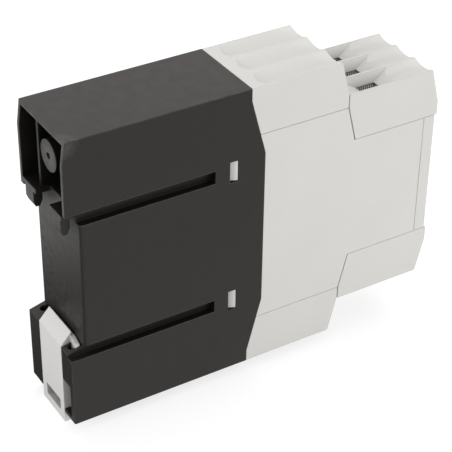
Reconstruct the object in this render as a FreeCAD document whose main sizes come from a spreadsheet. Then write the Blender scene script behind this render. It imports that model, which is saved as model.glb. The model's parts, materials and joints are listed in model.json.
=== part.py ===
import FreeCAD, Part
import Sketcher
import os

# Star-delta timer relay for a 35 mm mounting rail, in millimetres.
# x runs across the width and z runs up. Depth is measured forwards from the
# rail seat, so y = -depth, and z = 0 is the middle line of the rail.

DIMENSIONS = (
    # width, height and general fits
    ("pole_pitch", 7.5),
    ("panel_height", 33.5),
    ("edge_height", 3.75),
    ("wall", 1.5),
    ("fit", 0.1),
    ("running_clearance", 0.08),
    ("moving_clearance", 0.3),
    # rear housing: hook side
    ("rear_reach", 3.6),
    ("rear_lean", 0.8),
    ("lean_height", 6.0),
    ("pocket_back", 4.5),
    ("pocket_wall", 1.0),
    ("pocket_floor", 19.4),
    ("slot_top", 18.2),
    ("rail_half", 17.5),
    ("floor_gap", 6.9),
    ("ledge_top", 22.5),
    ("ledge_setback", 1.0),
    ("claw_inner", 4.8),
    ("claw_width", 4.1),
    ("claw_bottom", 14.0),
    ("claw_gap", 1.35),
    ("claw_lead_depth", 0.75),
    ("claw_lead_height", 1.6),
    ("claw_tip_depth", 0.5),
    ("claw_tip_height", 1.3),
    ("boss_diameter", 7.8),
    ("boss_level", 29.6),
    ("boss_reach", 1.5),
    ("dimple_diameter", 1.6),
    ("dimple_depth", 1.2),
    ("rib_offset", 4.8),
    ("rib_thickness", 0.9),
    ("seat_round", 0.9),
    # rear housing: foot with the latch channel
    ("foot_reach", 3.9),
    ("foot_level", 18.1),
    ("foot_drop", 1.0),
    ("foot_chamfer", 0.3),
    ("channel_width", 12.0),
    ("far_undercut", 7.8),
    ("near_undercut", 8.8),
    ("undercut_depth", 1.5),
    ("notch_wall", 1.35),
    ("notch_depth", 1.9),
    ("notch_margin", 1.2),
    ("notch_height", 9.4),
    ("relief_diameter", 2.1),
    ("near_relief_offset", 7.4),
    ("near_relief_reach", 1.75),
    ("far_relief_offset", 9.0),
    ("far_relief_reach", 0.9),
    ("relief_depth", 3.0),
    ("stop_width", 4.0),
    ("stop_height", 1.4),
    # rear housing: side grooves and snap windows
    ("groove_level", 18.4),
    ("groove_height", 3.3),
    ("groove_depth", 1.9),
    ("groove_gap", 3.9),
    ("groove_backing", 1.2),
    ("far_groove_start", 2.0),
    ("window_setback", 9.6),
    ("window_length", 2.3),
    ("window_low", 15.6),
    ("window_height", 5.6),
    # joint line between the rear housing and the grey front
    ("joint_depth", 44.4),
    ("joint_bulge", 4.0),
    ("joint_corner_drop", 3.2),
    ("joint_slope_height", 14.7),
    # two tiers of the front
    ("tier_one_depth", 69.2),
    ("terminal_length", 24.8),
    ("slope_run", 2.4),
    ("slope_drop", 9.25),
    ("step_height", 3.55),
    ("seam", 0.1),
    ("terminal_seam", 0.25),
    ("flute_radius", 5.6),
    ("flute_depth", 1.1),
    ("flute_setback", 4.3),
    ("flute_run", 1.5),
    ("cover_top_wall", 1.5),
    ("cover_rear_wall", 4.0),
    ("cover_front_wall", 3.2),
    # front panel
    ("panel_recess", 0.6),
    ("panel_thickness", 3.3),
    ("panel_plate", 1.4),
    ("collar_length", 2.3),
    ("collar_wall", 0.7),
    # snap tongues of the front housing
    ("tongue_thickness", 1.2),
    ("tongue_height", 7.6),
    ("tongue_tip", 1.8),
    ("tongue_root", 4.6),
    ("tooth_clearance", 0.15),
    ("tooth_recess", 0.1),
    ("tooth_ramp", 0.9),
    # terminals
    ("funnel_setback", 1.1),
    ("funnel_length", 15.0),
    ("funnel_rib", 0.9),
    ("funnel_drop", 2.3),
    ("wire_setback", 5.8),
    ("wire_edge", 0.2),
    ("chamber_rib", 1.6),
    ("chamber_roof", 1.45),
    ("chamber_rear_gap", 0.4),
    ("screw_setback", 4.1),
    ("screw_seat", 1.0),
    ("screw_level", 22.9),
    ("screw_diameter", 2.9),
    ("head_diameter", 5.0),
    ("head_height", 1.9),
    ("screw_slot_width", 0.8),
    ("screw_slot_depth", 0.9),
    ("cage_wall", 0.6),
    ("cage_rear_wall", 0.9),
    ("cage_nut_wall", 1.8),
    ("cage_travel", 4.1),
    ("cage_bottom", 19.2),
    ("strip_gap", 2.2),
    ("strip_thickness", 1.0),
    ("strip_side_end", 11.0),
    ("strip_tail_height", 2.0),
    # rail latch and its spring
    ("latch_play", 0.2),
    ("latch_overhang", 3.1),
    ("latch_sill", 2.3),
    ("latch_shoulder", 18.8),
    ("latch_apex", 15.6),
    ("latch_apex_reach", 1.0),
    ("latch_ledge", 16.8),
    ("latch_wing_top", 20.0),
    ("latch_lip_tip", 17.9),
    ("latch_bridge", 0.5),
    ("latch_tab", 1.7),
    ("latch_slot_width", 7.4),
    ("latch_slot_height", 3.3),
    ("spring_window_width", 9.4),
    ("spring_top", 22.5),
    ("spring_strip", 0.5),
    ("spring_rest_gap", 0.05),
    # boards and the parts on them
    ("board_face", 0.8),
    ("board_thickness", 1.6),
    ("board_start", 7.0),
    ("board_joint_gap", 1.4),
    ("board_margin", 3.5),
    ("board_edge_gap", 0.25),
    ("guide_level", 8.0),
    ("guide_width", 5.6),
    ("guide_height", 3.0),
    ("guide_overlap", 2.0),
    ("control_setback", 6.9),
    ("control_thickness", 1.6),
    ("control_margin", 0.35),
    ("header_length", 6.0),
    ("header_width", 2.5),
    ("header_half", 6.0),
    ("relay_start", 12.0),
    ("relay_length", 28.6),
    ("relay_height", 12.6),
    ("relay_gap", 3.0),
    ("relay_depth", 8.4),
    ("reservoir_diameter", 8.0),
    ("reservoir_half", 9.0),
    ("reservoir_start", 52.0),
    ("saddle_width", 3.0),
    ("film_start", 64.5),
    ("film_length", 5.5),
    ("film_half", 9.0),
    ("film_depth", 7.6),
    ("varistor_diameter", 7.5),
    ("varistor_start", 55.0),
    ("varistor_thickness", 4.2),
    ("varistor_margin", 1.45),
    ("varistor_lead", 0.8),
    ("varistor_standoff", 0.5),
    ("chip_start", 28.0),
    ("chip_length", 10.3),
    ("chip_half", 3.7),
    ("chip_thickness", 1.8),
    # controls on the front
    ("dial_body", 9.0),
    ("dial_body_depth", 4.5),
    ("knob_diameter", 8.8),
    ("knob_web", 1.1),
    ("knob_proud", 0.5),
    ("knob_length", 3.7),
    ("knob_shaft", 4.0),
    ("knob_shaft_gap", 1.6),
    ("knob_slot_width", 1.2),
    ("knob_slot_depth", 0.9),
    ("pipe_diameter", 2.8),
    ("pipe_proud", 0.15),
    ("pipe_fit", 0.05),
    ("pipe_drop", 4.15),
    ("pipe_gap", 0.6),
    ("pipe_side_gap", 1.55),
    ("lamp_size", 2.0),
    ("lamp_height", 1.4),
    ("lamp_bar_height", 0.6),
    ("lamp_bar_margin", 1.2),
)

POLES = (-1, 0, 1)
SIDES = (("upper", 1), ("lower", -1))
SPRING_BARS = 6
PLANE_ROLES = {"side": "YZ_Plane", "front": "XZ_Plane", "top": "XY_Plane"}
OVERLAP = 0.5


class Size:
    """A length that keeps its expression text next to its present value."""

    def __init__(self, text, value):
        self.text = text
        self.value = value

    def join(self, other, sign, value):
        return Size("(%s %s %s)" % (self.text, sign, other.text), value)

    def __add__(self, other):
        other = as_size(other)
        return self.join(other, "+", self.value + other.value)

    def __radd__(self, other):
        return as_size(other) + self

    def __sub__(self, other):
        other = as_size(other)
        return self.join(other, "-", self.value - other.value)

    def __rsub__(self, other):
        return as_size(other) - self

    def __mul__(self, other):
        other = as_size(other)
        return self.join(other, "*", self.value * other.value)

    def __rmul__(self, other):
        return as_size(other) * self

    def __truediv__(self, other):
        other = as_size(other)
        return self.join(other, "/", self.value / other.value)

    def __neg__(self):
        return Size("(0 - %s)" % self.text, -self.value)


def as_size(number):
    if isinstance(number, Size):
        return number
    if number < 0:
        return Size("(0 - %s)" % repr(float(-number)), float(number))
    return Size(repr(float(number)), float(number))


class Table:
    """The named driving dimensions."""


doc = FreeCAD.newDocument("timer_relay")
sheet = doc.addObject("Spreadsheet::Sheet", "Sizes")
for row, (alias, value) in enumerate(DIMENSIONS, 1):
    sheet.set("A%d" % row, alias)
    sheet.set("B%d" % row, str(value))
    sheet.setAlias("B%d" % row, alias)
doc.recompute()
s = Table()
for alias, value in DIMENSIONS:
    setattr(s, alias, Size("Sizes." + alias, float(sheet.get(alias))))


def bind(feature, name, size):
    feature.setExpression(name, as_size(size).text)


def ordered(span):
    low, high = as_size(span[0]), as_size(span[1])
    if low.value > high.value:
        return high, low
    return low, high


def mirrored(span, side):
    return (span[0] * side, span[1] * side)


def rectangle(span_a, span_b):
    a_low, a_high = ordered(span_a)
    b_low, b_high = ordered(span_b)
    return [(a_low, b_low), (a_high, b_low), (a_high, b_high), (a_low, b_high)]


def hold(sketch, kind, axis, shape, point, distance):
    """Fixes one coordinate of a sketch point to a driving size."""
    if abs(distance.value) < 1e-9:
        sketch.addConstraint(Sketcher.Constraint("PointOnObject", shape, point, axis))
        return
    index = sketch.addConstraint(Sketcher.Constraint(kind, -1, 1, shape, point, distance.value))
    sketch.setExpression("Constraints[%d]" % index, distance.text)


def draw_polygon(sketch, points):
    first = sketch.GeometryCount
    count = len(points)
    for i, (a, b) in enumerate(points):
        c, d = points[(i + 1) % count]
        start = FreeCAD.Vector(a.value, b.value, 0)
        sketch.addGeometry(Part.LineSegment(start, FreeCAD.Vector(c.value, d.value, 0)))
    for i in range(count):
        following = first + (i + 1) % count
        sketch.addConstraint(Sketcher.Constraint("Coincident", first + i, 2, following, 1))
    for i, (a, b) in enumerate(points):
        hold(sketch, "DistanceX", -2, first + i, 1, a)
        hold(sketch, "DistanceY", -1, first + i, 1, b)


def draw_circle(sketch, a, b, radius):
    first = sketch.GeometryCount
    centre = FreeCAD.Vector(a.value, b.value, 0)
    sketch.addGeometry(Part.Circle(centre, FreeCAD.Vector(0, 0, 1), radius.value))
    index = sketch.addConstraint(Sketcher.Constraint("Radius", first, radius.value))
    sketch.setExpression("Constraints[%d]" % index, radius.text)
    hold(sketch, "DistanceX", -2, first, 3, a)
    hold(sketch, "DistanceY", -1, first, 3, b)


class Moulding:
    """A body built from pads and pockets.

    Outlines are given as (depth, z) seen from the side, (x, z) seen from the
    front and (x, depth) seen from the top. A circle is (a, b, radius).
    """

    def __init__(self, label):
        self.body = doc.addObject("PartDesign::Body", label)
        self.body.Label = label
        self.volume = 0.0

    def attached_sketch(self, plane, level):
        sketch = self.body.newObject("Sketcher::SketchObject", self.body.Label + "_sketch")
        role = PLANE_ROLES[plane]
        support = [item for item in self.body.Origin.OriginFeatures if item.Role == role][0]
        sketch.AttachmentSupport = [(support, "")]
        sketch.MapMode = "FlatFace"
        bind(sketch, "AttachmentOffset.Base.z", level)
        return sketch

    def sketch(self, plane, outline, level):
        sketch = self.attached_sketch(plane, level)
        sign_a = -1 if plane == "side" else 1
        sign_b = -1 if plane == "top" else 1
        if isinstance(outline, tuple):
            a, b, radius = (as_size(item) for item in outline)
            draw_circle(sketch, a * sign_a, b * sign_b, radius)
        else:
            points = [(as_size(a) * sign_a, as_size(b) * sign_b) for a, b in outline]
            draw_polygon(sketch, points)
        return sketch

    def shape_feature(self, kind, plane, outline, level, length):
        sketch = self.sketch(plane, outline, level)
        feature = self.body.newObject("PartDesign::" + kind, self.body.Label + "_" + kind.lower())
        feature.Profile = sketch
        bind(feature, "Length", length)
        return self.checked(feature, kind == "Pad")

    def checked(self, feature, adds):
        """Recomputes, and stops where a feature adds or removes the wrong way."""
        doc.recompute()
        change = self.body.Shape.Volume - self.volume
        if (change > 0) != adds or abs(change) < 1e-6 or len(self.body.Shape.Solids) != 1:
            raise ValueError("%s has no proper effect" % feature.Name)
        self.volume = self.body.Shape.Volume
        return feature

    def pad(self, plane, outline, span):
        low, high = ordered(span)
        return self.shape_feature("Pad", plane, outline, low, high - low)

    def pocket(self, plane, outline, span):
        low, high = ordered(span)
        return self.shape_feature("Pocket", plane, outline, high, high - low)

    def trough(self, x, z, span, radius, depth, run):
        """Cuts a round trough along a forward axis; its rear end slopes up over the length run."""
        sketch = self.attached_sketch("side", x)
        bind(sketch, "AttachmentOffset.Base.y", z)
        start, end = span
        axis = as_size(0)
        draw_polygon(sketch, [
            (-end, axis),
            (run - start, axis),
            (run - start, radius - depth),
            (-start, radius),
            (-end, radius),
        ])
        feature = self.body.newObject("PartDesign::Groove", self.body.Label + "_groove")
        feature.Profile = sketch
        feature.ReferenceAxis = (sketch, ["H_Axis"])
        feature.Angle = 360
        return self.checked(feature, False)

    def fillet(self, base, wanted, radius):
        """Rounds the edges of base that the test named wanted picks out."""
        names = []
        for number, edge in enumerate(base.Shape.Edges, 1):
            if wanted(edge):
                names.append("Edge%d" % number)
        feature = self.body.newObject("PartDesign::Fillet", self.body.Label + "_fillet")
        feature.Base = (base, names)
        bind(feature, "Radius", radius)
        doc.recompute()
        self.volume = self.body.Shape.Volume
        return feature


def block(label, x, depth, z):
    low_x, high_x = ordered(x)
    low_d, high_d = ordered(depth)
    low_z, high_z = ordered(z)
    box = doc.addObject("Part::Box", label)
    box.Label = label
    bind(box, "Length", high_x - low_x)
    bind(box, "Width", high_d - low_d)
    bind(box, "Height", high_z - low_z)
    bind(box, "Placement.Base.x", low_x)
    bind(box, "Placement.Base.y", -high_d)
    bind(box, "Placement.Base.z", low_z)
    return box


FORWARDS = FreeCAD.Rotation(FreeCAD.Vector(1, 0, 0), 90)
UPWARDS = FreeCAD.Rotation()


def place(feature, turn, x, depth, z):
    feature.Placement = FreeCAD.Placement(FreeCAD.Vector(0, 0, 0), turn)
    bind(feature, "Placement.Base.x", x)
    bind(feature, "Placement.Base.y", -as_size(depth))
    bind(feature, "Placement.Base.z", z)


def rod(label, radius, x, depth, z):
    """A cylinder that runs forwards over the given span of depth."""
    low, high = ordered(depth)
    cylinder = doc.addObject("Part::Cylinder", label)
    cylinder.Label = label
    bind(cylinder, "Radius", radius)
    bind(cylinder, "Height", high - low)
    place(cylinder, FORWARDS, x, low, z)
    return cylinder


def upright(label, radius, x, depth, z):
    """A cylinder that runs up over the given span of z."""
    low, high = ordered(z)
    cylinder = doc.addObject("Part::Cylinder", label)
    cylinder.Label = label
    bind(cylinder, "Radius", radius)
    bind(cylinder, "Height", high - low)
    place(cylinder, UPWARDS, x, depth, low)
    return cylinder


def hopper(label, x, near, far):
    """A tapering funnel; near and far are (z, half width, depth start, depth end)."""
    low, high = near, far
    if low[0].value > high[0].value:
        low, high = far, near
    wedge = doc.addObject("Part::Wedge", label)
    wedge.Label = label
    bind(wedge, "Ymin", low[0])
    bind(wedge, "Xmin", -low[1])
    bind(wedge, "Xmax", low[1])
    bind(wedge, "Zmin", low[2])
    bind(wedge, "Zmax", low[3])
    bind(wedge, "Ymax", high[0])
    bind(wedge, "X2min", -high[1])
    bind(wedge, "X2max", high[1])
    bind(wedge, "Z2min", high[2])
    bind(wedge, "Z2max", high[3])
    place(wedge, FORWARDS, x, 0, 0)
    return wedge


def fuse(label, shapes):
    if len(shapes) == 1:
        return shapes[0]
    union = doc.addObject("Part::MultiFuse", label)
    union.Label = label
    union.Shapes = shapes
    union.Refine = True
    return union


def cut(label, base, tools):
    result = doc.addObject("Part::Cut", label)
    result.Label = label
    result.Base = base
    result.Tool = fuse(label + "_tools", tools)
    result.Refine = True
    return result


# levels above the middle line, shared by several pieces
tier_two_seam = s.panel_height / 2
tier_two_slope_end = tier_two_seam + s.edge_height
tier_two_top = tier_two_slope_end + s.slope_drop
tier_one_seam = tier_two_top - s.step_height
top = tier_two_top + s.slope_drop
inner_top = top - s.wall
joint_corner = top - s.joint_corner_drop
joint_flat = joint_corner - s.joint_slope_height
window_high = s.window_low + s.window_height

# faces across the width
half = s.pole_pitch * len(POLES) / 2
inner_half = half - s.wall
pocket_half = half - s.pocket_wall
backing_face = half - s.groove_depth - s.groove_backing
channel_half = s.channel_width / 2

# depths from the rail seat
joint_front = s.joint_depth + s.joint_bulge
joint_slope = s.joint_bulge / s.joint_slope_height
joint_at_seam = s.joint_depth + joint_slope * (joint_corner - tier_one_seam)
window_start = joint_front - s.window_setback
window_end = window_start + s.window_length
groove_end = window_start - s.groove_gap
tier_one_front = s.tier_one_depth + s.slope_run
seam_front = tier_one_front + s.slope_run
tier_two_depth = tier_one_front + s.terminal_length
tier_two_front = tier_two_depth + s.slope_run
beyond_front = tier_two_front + OVERLAP
panel_depth = tier_two_front - s.panel_recess
panel_seam = panel_depth - s.panel_thickness
control_start = panel_seam - s.control_setback

# levels of the latch, counted from the bottom of the foot
latch_bottom = top + s.latch_overhang
latch_slot_low = latch_bottom - s.latch_sill
latch_slot_top = latch_slot_low - s.latch_slot_height
latch_wing_bottom = latch_slot_top - s.latch_bridge
spring_window_bottom = latch_wing_bottom - s.latch_tab
stop_bottom = spring_window_bottom - s.moving_clearance
stop_level = stop_bottom - s.stop_height

nodes = []


def keep(piece):
    nodes.append(piece.body if isinstance(piece, Moulding) else piece)
    return nodes[-1]


# rear housing: outline seen from the side
rear = Moulding("rear_housing")
rear_outline = [
    (-s.rear_reach + s.rear_lean, top),
    (-s.rear_reach, top - s.lean_height),
    (-s.rear_reach, s.rail_half),
    (as_size(0), s.rail_half),
    (as_size(0), -s.foot_level),
    (-s.foot_reach, -s.foot_level - s.foot_drop),
    (-s.foot_reach, -top + s.foot_chamfer),
    (-s.foot_reach + s.foot_chamfer, -top),
    (s.joint_depth, -top),
    (s.joint_depth, -joint_corner),
    (joint_front, -joint_flat),
    (joint_front, joint_flat),
    (s.joint_depth, joint_corner),
    (s.joint_depth, top),
]
rear_block = rear.pad("side", rear_outline, (-half, half))


def seat_edge(edge):
    centre = edge.CenterOfMass
    upright_edge = abs(edge.tangentAt(edge.FirstParameter).z) > 0.99
    return upright_edge and abs(centre.y) < 0.01 and abs(abs(centre.x) - half.value) < 0.01


rear.fillet(rear_block, seat_edge, s.seat_round)

# inside of the rear housing, open to the front
step_level = s.slot_top - s.wall
cavity_outline = [
    (s.wall, -inner_top),
    (joint_front + OVERLAP, -inner_top),
    (joint_front + OVERLAP, inner_top),
    (s.pocket_back + s.wall, inner_top),
    (s.pocket_back + s.wall, step_level),
    (s.wall, step_level),
]
rear.pocket("side", cavity_outline, (-inner_half, inner_half))

# pocket above the rail, open to the rear, with a ledge behind each groove
pocket_outline = rectangle((-pocket_half, pocket_half), (s.pocket_floor, top - s.pocket_wall))
rear.pocket("front", pocket_outline, (-s.rear_reach - OVERLAP, s.pocket_back))
ledge_starts = {
    -1: -s.rear_reach + s.ledge_setback,
    1: s.far_groove_start - s.groove_backing,
}
for hand, start in ledge_starts.items():
    ledge_x = mirrored((backing_face, pocket_half + OVERLAP), hand)
    ledge_outline = rectangle(ledge_x, (s.pocket_floor - OVERLAP, s.ledge_top))
    rear.pad("front", ledge_outline, (start, s.pocket_back + OVERLAP))
slot_outline = rectangle((-inner_half, inner_half), (s.rail_half - OVERLAP, s.slot_top))
rear.pocket("front", slot_outline, (-s.rear_reach - OVERLAP, 0))
gap_outline = rectangle((-s.floor_gap / 2, s.floor_gap / 2), (s.slot_top - OVERLAP, s.pocket_floor + OVERLAP))
rear.pocket("front", gap_outline, (-s.rear_reach - OVERLAP, 0))
rear.pad("front", (0, s.boss_level, s.boss_diameter / 2), (-s.boss_reach, s.pocket_back + OVERLAP))
dimple_span = (-s.boss_reach - OVERLAP, -s.boss_reach + s.dimple_depth)
rear.pocket("front", (0, s.boss_level, s.dimple_diameter / 2), dimple_span)
rib_span = (s.rib_offset, s.rib_offset + s.rib_thickness)
rib_outline = rectangle(rib_span, (s.pocket_floor - OVERLAP, top - s.pocket_wall + OVERLAP))
rear.pad("front", rib_outline, (-s.boss_reach, s.pocket_back + OVERLAP))

# two claws that hook over the upper lip of the rail
claw_outline = [
    (-s.rear_reach, s.pocket_floor - OVERLAP),
    (-s.rear_reach, s.claw_bottom + s.claw_tip_height),
    (-s.rear_reach + s.claw_tip_depth, s.claw_bottom),
    (-s.claw_gap - s.claw_lead_depth, s.claw_bottom),
    (-s.claw_gap, s.claw_bottom + s.claw_lead_height),
    (-s.claw_gap, s.pocket_floor - OVERLAP),
]
for hand in (-1, 1):
    rear.pad("side", claw_outline, mirrored((s.claw_inner, s.claw_inner + s.claw_width), hand))

# long grooves in both sides, each backed by a bar inside the wall
groove_low = s.groove_level - s.groove_height / 2
groove_high = s.groove_level + s.groove_height / 2
for hand in (-1, 1):
    for name, side in SIDES:
        bar_x = mirrored((backing_face, inner_half + OVERLAP), hand)
        bar_z = mirrored((groove_low - s.groove_backing, groove_high + s.groove_backing), side)
        bar_end = groove_end + s.groove_backing
        rear.pad("front", rectangle(bar_x, bar_z), (s.wall - OVERLAP, bar_end))
groove_x = (half - s.groove_depth, half + OVERLAP)
groove_starts = {
    (-1, 1): -s.rear_reach - OVERLAP,
    (-1, -1): -s.foot_reach - OVERLAP,
    (1, 1): s.far_groove_start,
    (1, -1): s.far_groove_start,
}
for (hand, side), start in groove_starts.items():
    groove_outline = rectangle((start, groove_end), mirrored((groove_low, groove_high), side))
    rear.pocket("side", groove_outline, mirrored(groove_x, hand))

# four windows for the snap teeth
window_depth = (window_start, window_end)
for hand in (-1, 1):
    for name, side in SIDES:
        window_outline = rectangle(window_depth, mirrored((s.window_low, window_high), side))
        rear.pocket("side", window_outline, mirrored((inner_half - OVERLAP, half + OVERLAP), hand))

# latch channel through the foot, undercut along the seat
channel_outline = [
    (-channel_half, -s.foot_reach - OVERLAP),
    (channel_half, -s.foot_reach - OVERLAP),
    (channel_half, -s.undercut_depth),
    (s.far_undercut, -s.undercut_depth),
    (s.far_undercut, as_size(0)),
    (-s.near_undercut, as_size(0)),
    (-s.near_undercut, -s.undercut_depth),
    (-channel_half, -s.undercut_depth),
]
rear.pocket("top", channel_outline, (-top - OVERLAP, -s.foot_level + OVERLAP))
notch_bottom = top - s.notch_margin
notch_outline = rectangle(
    (-half + s.notch_wall, -channel_half + OVERLAP),
    (-notch_bottom, -notch_bottom + s.notch_height),
)
rear.pocket("front", notch_outline, (-s.foot_reach - OVERLAP, -s.foot_reach + s.notch_depth))
for relief_x, relief_reach in (
    (-s.near_relief_offset, s.near_relief_reach),
    (s.far_relief_offset, s.far_relief_reach),
):
    relief = (relief_x, -relief_reach, s.relief_diameter / 2)
    rear.pocket("top", relief, (-s.foot_level - s.relief_depth, -s.foot_level + OVERLAP))
stop_outline = rectangle(
    (-s.stop_width / 2, s.stop_width / 2),
    (-stop_bottom, -stop_level),
)
rear.pad("front", stop_outline, (-s.undercut_depth + s.moving_clearance, s.wall - OVERLAP))

# card guides that hold the rear edge of the main board
board_middle = -s.board_face - s.board_thickness / 2
guide_x = (board_middle - s.guide_width / 2, board_middle + s.guide_width / 2)
guide_end = s.board_start + s.guide_overlap
for name, side in SIDES:
    guide_low = s.guide_level * side - s.guide_height / 2
    guide_high = s.guide_level * side + s.guide_height / 2
    rear.pad("front", rectangle(guide_x, (guide_low, guide_high)), (s.wall - OVERLAP, guide_end))
    slot_x = (-s.board_face - s.board_thickness - s.running_clearance, -s.board_face + s.running_clearance)
    slot_z = (guide_low - OVERLAP, guide_high + OVERLAP)
    rear.pocket("front", rectangle(slot_x, slot_z), (s.board_start, guide_end + OVERLAP))
keep(rear)

# front housing: grey shell between the two pairs of terminal blocks
shell = Moulding("front_housing")
shell_outline = [
    (joint_at_seam, tier_one_seam),
    (tier_one_front, tier_one_seam),
    (seam_front, tier_two_seam),
    (panel_seam, tier_two_seam),
    (panel_seam, -tier_two_seam),
    (seam_front, -tier_two_seam),
    (tier_one_front, -tier_one_seam),
    (joint_at_seam, -tier_one_seam),
    (joint_front, -joint_flat),
    (joint_front, joint_flat),
]
shell.pad("side", shell_outline, (-half, half))
shell_rear = s.joint_depth - OVERLAP
shell_cavity = [
    (shell_rear, tier_one_seam - s.wall),
    (tier_one_front - s.wall, tier_one_seam - s.wall),
    (seam_front - s.wall, tier_two_seam - s.wall),
    (panel_seam + OVERLAP, tier_two_seam - s.wall),
    (panel_seam + OVERLAP, -tier_two_seam + s.wall),
    (seam_front - s.wall, -tier_two_seam + s.wall),
    (tier_one_front - s.wall, -tier_one_seam + s.wall),
    (shell_rear, -tier_one_seam + s.wall),
]
shell.pocket("side", shell_cavity, (-inner_half, inner_half))

# snap tongues whose ramped teeth fill the windows of the rear housing
tongue_middle = s.window_low + s.window_height / 2
tongue_z = (tongue_middle - s.tongue_height / 2, tongue_middle + s.tongue_height / 2)
tongue_outer = inner_half - s.fit
tongue_x = (tongue_outer - s.tongue_thickness, tongue_outer)
root_depth = (joint_front + s.moving_clearance, joint_front + s.tongue_root)
tongue_depth = (window_start - s.tongue_tip, joint_front + s.tongue_root)
tooth_start = window_start + s.tooth_clearance
tooth_end = window_end - s.tooth_clearance
tooth_plan = [
    (tongue_outer - OVERLAP, tooth_start),
    (half - s.tooth_recess - s.tooth_ramp, tooth_start),
    (half - s.tooth_recess, tooth_end),
    (tongue_outer - OVERLAP, tooth_end),
]
tooth_z = (s.window_low + s.tooth_clearance, window_high - s.tooth_clearance)
for hand in (-1, 1):
    for name, side in SIDES:
        root_x = (tongue_outer - s.tongue_thickness, inner_half + OVERLAP)
        shell.pad("side", rectangle(root_depth, mirrored(tongue_z, side)), mirrored(root_x, hand))
        shell.pad("side", rectangle(tongue_depth, mirrored(tongue_z, side)), mirrored(tongue_x, hand))
        tooth_outline = [(x * hand, depth) for x, depth in tooth_plan]
        shell.pad("top", tooth_outline, mirrored(tooth_z, side))

# depths and widths inside the terminal blocks, shared with the metal in them
wire_start = tier_one_front + s.wire_setback
cage_start = wire_start - s.cage_rear_wall
chamber_end = tier_two_depth - s.screw_setback
cage_end = chamber_end - s.cage_travel - s.moving_clearance
nut_start = cage_end - s.cage_nut_wall
strip_end = nut_start - s.strip_gap
strip_start = strip_end - s.strip_thickness
strip_depth = (strip_start, strip_end)
chamber_half = (s.pole_pitch - s.chamber_rib) / 2
cage_half = chamber_half - s.moving_clearance
cage_inner = cage_half - s.cage_wall
strip_half = cage_inner - s.moving_clearance
wire_half = cage_inner - s.wire_edge / 2
funnel_half = (s.pole_pitch - s.funnel_rib) / 2

# slots that let the legs of the contact strips into the shell
for pole in POLES:
    axis_x = s.pole_pitch * pole
    leg_x = (axis_x - strip_half - s.fit, axis_x + strip_half + s.fit)
    for name, side in SIDES:
        leg_z = mirrored((tier_two_seam - s.wall - OVERLAP, tier_two_seam + OVERLAP), side)
        shell.pocket("top", rectangle(leg_x, strip_depth), leg_z)
keep(shell)


# blanking covers: fluted blocks of the rear tier, without terminals
cover_low = tier_one_seam + s.seam
cover_rear = joint_at_seam - joint_slope * s.seam
flute_span = (s.joint_depth + s.flute_setback, tier_one_front + OVERLAP)
for name, side in SIDES:
    cover = Moulding(name + "_blanking_cover")
    cover_outline = [
        (s.joint_depth, top * side),
        (s.tier_one_depth, top * side),
        (tier_one_front, tier_two_top * side),
        (tier_one_front, cover_low * side),
        (cover_rear, cover_low * side),
        (s.joint_depth, joint_corner * side),
    ]
    cover.pad("side", cover_outline, (-half, half))
    hollow_depth = (s.joint_depth + s.cover_rear_wall, s.tier_one_depth - s.cover_front_wall)
    hollow_z = (tier_one_seam - OVERLAP, top - s.flute_depth - s.cover_top_wall)
    cover.pocket("side", rectangle(hollow_depth, mirrored(hollow_z, side)), (-inner_half, inner_half))
    flute_z = (top - s.flute_depth + s.flute_radius) * side
    for pole in POLES:
        flute_x = s.pole_pitch * pole
        cover.trough(flute_x, flute_z, flute_span, s.flute_radius, s.flute_depth, s.flute_run)
    keep(cover)

# terminal blocks: fluted blocks of the front tier, with a wire funnel and a
# screw hole for each pole
seat_depth = chamber_end + s.screw_seat
chamber_top = tier_two_top - s.flute_depth - s.chamber_roof
screw_radius = s.screw_diameter / 2
screw_hole = screw_radius + s.running_clearance
head_radius = s.head_diameter / 2
block_rear = tier_one_front + s.terminal_seam
block_low = tier_two_seam + s.seam
for name, side in SIDES:
    label = name + "_terminal_block"
    terminals = Moulding(label + "_block")
    terminal_outline = [
        (block_rear, tier_two_top * side),
        (tier_two_depth, tier_two_top * side),
        (tier_two_front, tier_two_slope_end * side),
        (tier_two_front, block_low * side),
        (seam_front + s.terminal_seam, block_low * side),
        (block_rear, tier_one_seam * side),
    ]
    terminals.pad("side", terminal_outline, (-half, half))
    flute_z = (tier_two_top - s.flute_depth + s.flute_radius) * side
    tools = []
    for pole in POLES:
        axis_x = s.pole_pitch * pole
        terminals.pocket("front", (axis_x, flute_z, s.flute_radius), (tier_one_front - OVERLAP, beyond_front))
        chamber_x = (axis_x - chamber_half, axis_x + chamber_half)
        chamber_z = mirrored((tier_two_seam - OVERLAP, chamber_top), side)
        chamber_depth = (cage_start - s.chamber_rear_gap, chamber_end)
        terminals.pocket("top", rectangle(chamber_x, chamber_depth), chamber_z)
        screw_z = s.screw_level * side
        terminals.pocket("front", (axis_x, screw_z, screw_hole), (chamber_end - OVERLAP, beyond_front))
        head_hole = head_radius + s.moving_clearance
        terminals.pocket("front", (axis_x, screw_z, head_hole), (seat_depth, beyond_front))
        funnel = "%s_funnel_%d" % (label, pole + 2)
        mouth_start = tier_one_front + s.funnel_setback
        mouth_end = mouth_start + s.funnel_length
        throat_z = tier_two_top - s.funnel_drop
        mouth = (tier_two_top * side, funnel_half, mouth_start, mouth_end)
        throat = (throat_z * side, wire_half, wire_start, strip_start)
        tools.append(hopper(funnel, axis_x, mouth, throat))
        wire_x = (axis_x - wire_half, axis_x + wire_half)
        wire_z = mirrored((chamber_top - OVERLAP, throat_z), side)
        tools.append(block(funnel + "_throat", wire_x, (wire_start, strip_start), wire_z))
    keep(cut(label, terminals.body, tools))

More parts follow.
